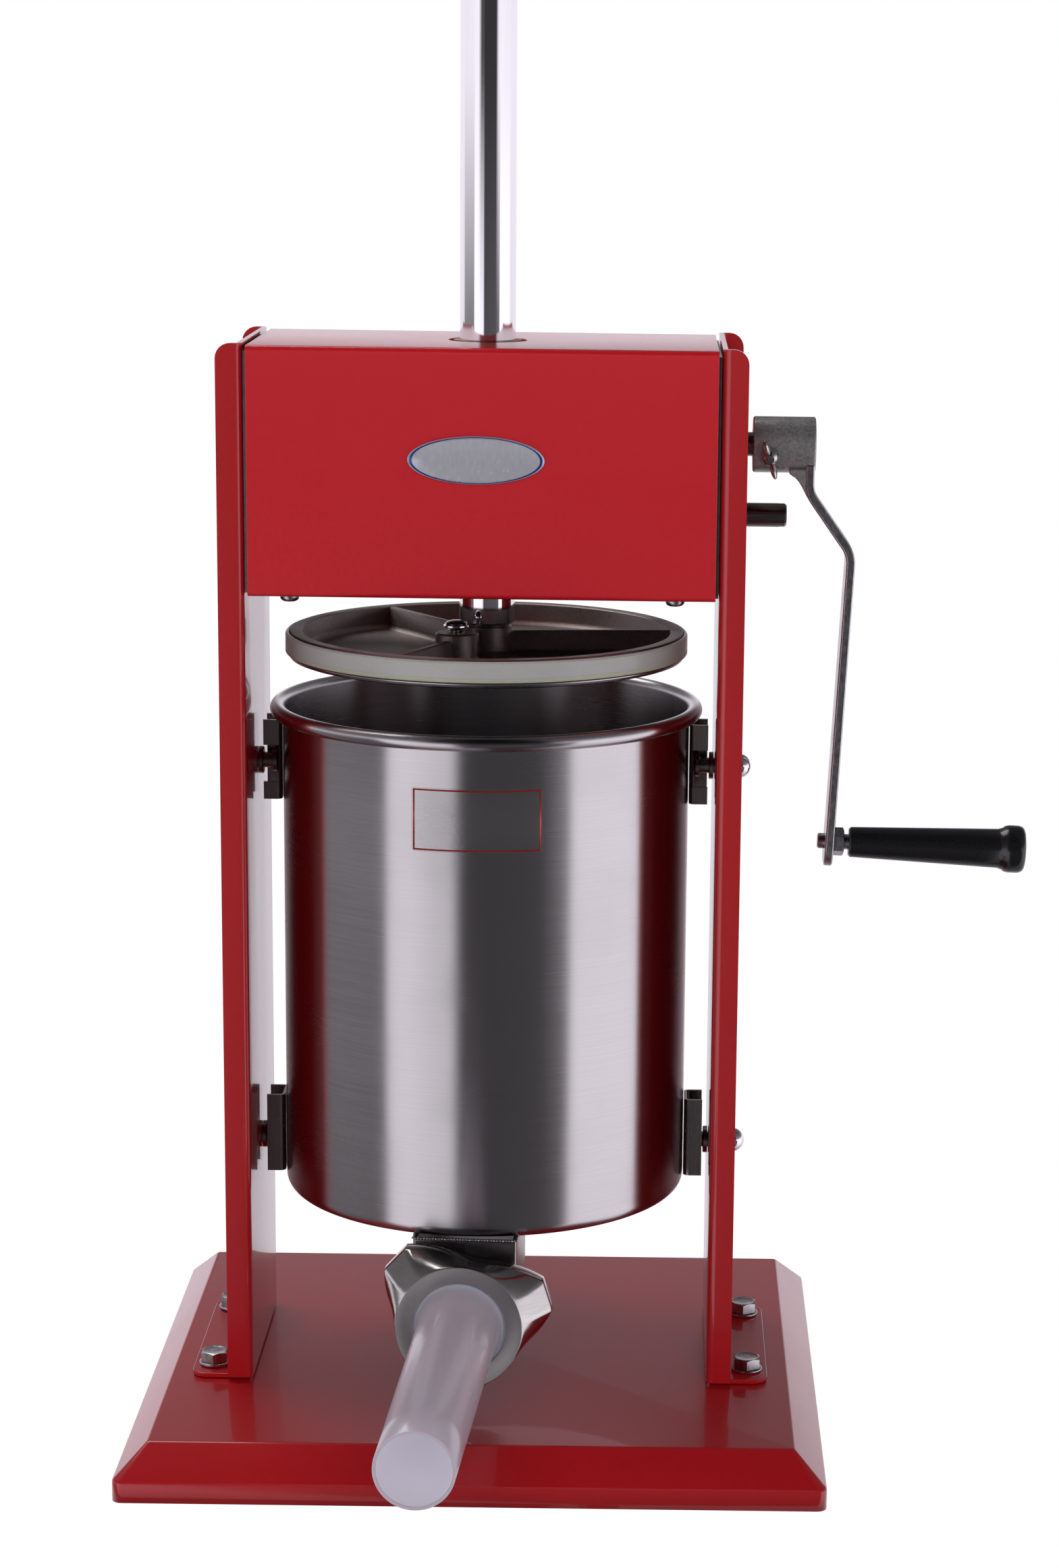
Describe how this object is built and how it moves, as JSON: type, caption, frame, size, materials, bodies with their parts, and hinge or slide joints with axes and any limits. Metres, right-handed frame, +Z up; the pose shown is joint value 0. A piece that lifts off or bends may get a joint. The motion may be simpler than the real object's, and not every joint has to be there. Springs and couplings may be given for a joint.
{
  "type": "sausage stuffer",
  "caption": "Hand-cranked vertical sausage stuffer: red channel frame with gearbox, rack-driven piston over a stainless canister, elbow outlet with ring nut and stuffing tube.",
  "frame": {"origin": "middle of the top of the base's 2 mm top plate, on the axis of the rod, piston and canister; mount base_inside is that plate's lower face, and the rim that rests on the table is 26 mm below the origin", "axes": "+Z up along the rod, -Y to the outlet and the user, +X to the crank"},
  "size_m": [0.4549, 0.4775, 0.842],
  "materials": {
    "red_paint": "glossy orange-peel paint",
    "zinc": "zinc-plated, satin",
    "chrome": "polished",
    "dark_steel": "machined, oiled",
    "bronze": "machined",
    "stainless": "brushed and polished stainless steel",
    "cast_aluminium": "sand-cast, matt",
    "cast_zinc": "cast and zinc-plated",
    "badge_metal": "satin plate, no lettering",
    "silicone": "translucent grey",
    "tube_plastic": "milky translucent",
    "black_plastic": "semi-gloss"
  },
  "bodies": {
    "frame": {"base_pan": "red_paint", "left_upright": "red_paint", "right_upright": "red_paint", "foot_bolt_left_front": "zinc", "foot_bolt_left_rear": "zinc", "foot_bolt_right_front": "zinc", "foot_bolt_right_rear": "zinc", "foot_washer_left_front": "zinc", "foot_washer_left_rear": "zinc", "foot_washer_right_front": "zinc", "foot_washer_right_rear": "zinc", "gear_frame": "dark_steel", "frame_bolt_left_lower": "zinc", "frame_bolt_left_upper": "zinc", "frame_bolt_right_lower": "zinc", "frame_bolt_right_upper": "zinc", "gear_cover": "red_paint", "cover_screw_left_front": "zinc", "cover_screw_left_rear": "zinc", "cover_screw_right_front": "zinc", "cover_screw_right_rear": "zinc", "badge": "badge_metal", "shaft_bush_left_lower": "bronze", "shaft_bush_left_upper": "bronze", "shaft_bush_right_lower": "bronze", "shaft_bush_right_upper": "bronze", "rod_bush_lower": "bronze", "rod_bush_upper": "bronze", "stud_left_lower": "stainless", "stud_left_upper": "stainless", "stud_right_lower": "stainless", "stud_right_upper": "stainless", "dome_nut_left_lower": "chrome", "dome_nut_left_upper": "chrome", "dome_nut_right_lower": "chrome", "dome_nut_right_upper": "chrome"},
    "crank_shaft": {"crank_shaft": "dark_steel"},
    "drive_train": {"drive_shaft": "dark_steel", "large_gear": "dark_steel", "gear_pin": "dark_steel"},
    "rod_and_piston": {"rod": "chrome", "piston": "cast_aluminium", "piston_seal": "silicone", "piston_bolt": "stainless", "valve_spring": "stainless"},
    "air_valve": {"valve_stem": "chrome"},
    "crank_handle": {"crank_arm": "cast_zinc", "grip_axle": "zinc", "grip_nut": "zinc"},
    "wing_screw": {"wing_screw": "zinc"},
    "grip": {"grip": "black_plastic"},
    "canister": {"canister": "stainless", "spout": "stainless", "tube_gasket": "silicone", "hook_left_lower": "stainless", "hook_left_upper": "stainless", "hook_right_lower": "stainless", "hook_right_upper": "stainless"},
    "stuffing_tube": {"stuffing_tube": "tube_plastic"},
    "ring_nut": {"ring_nut": "stainless"}
  },
  "joints": [
    {"name": "crank_turn", "type": "hinge", "parent": "frame", "child": "crank_shaft", "pos_m": [0, 0.022, 0.4765], "axis": [1, 0, 0], "range_deg": [-3880, 170]},
    {"name": "drive_turn", "type": "hinge", "parent": "frame", "child": "drive_train", "pos_m": [0, 0.022, 0.4405], "axis": [1, 0, 0], "range_deg": [-57, 1294]},
    {"name": "rod_slide", "type": "slide", "parent": "frame", "child": "rod_and_piston", "axis": [0, 0, 1], "range_m": [-0.271, 0.012]},
    {"name": "valve_press", "type": "slide", "parent": "rod_and_piston", "child": "air_valve", "axis": [0, 0, -1], "range_m": [0, 0.0025], "stiffness_N_per_m": 400, "springref_m": -0.004, "deforming": ["valve_spring"]},
    {"name": "crank_pull_off", "type": "slide", "parent": "crank_shaft", "child": "crank_handle", "axis": [1, 0, 0], "range_m": [0, 0.02]},
    {"name": "wing_screw_turn", "type": "hinge", "parent": "crank_handle", "child": "wing_screw", "pos_m": [0.1422, 0.022, 0.4765], "axis": [0, -0.9659, -0.2588], "range_deg": [0, 360]},
    {"name": "grip_spin", "type": "hinge", "parent": "crank_handle", "child": "grip", "pos_m": [0.17739, 0.022, 0.2705], "axis": [0.9995, 0, -0.0314], "continuous": true},
    {"name": "canister_tilt", "type": "hinge", "parent": "frame", "child": "canister", "pos_m": [0, 0, 0.1145], "axis": [-1, 0, 0], "range_deg": [0, 14]},
    {"name": "tube_slide", "type": "slide", "parent": "canister", "child": "stuffing_tube", "axis": [-0.0523, -0.9986, 0], "range_m": [0, 0.012]},
    {"name": "ring_nut_turn", "type": "hinge", "parent": "stuffing_tube", "child": "ring_nut", "pos_m": [-0.00628, -0.11984, 0.0555], "axis": [-0.0523, -0.9986, 0], "range_deg": [0, 1500]}
  ],
  "couplings": [
    {"joint": "drive_turn", "follows": "crank_turn", "ratio": -0.33333},
    {"joint": "rod_slide", "follows": "crank_turn", "m_per_rad": 0.004},
    {"joint": "ring_nut_turn", "follows": "tube_slide", "rad_per_m": 2094.4}
  ]
}
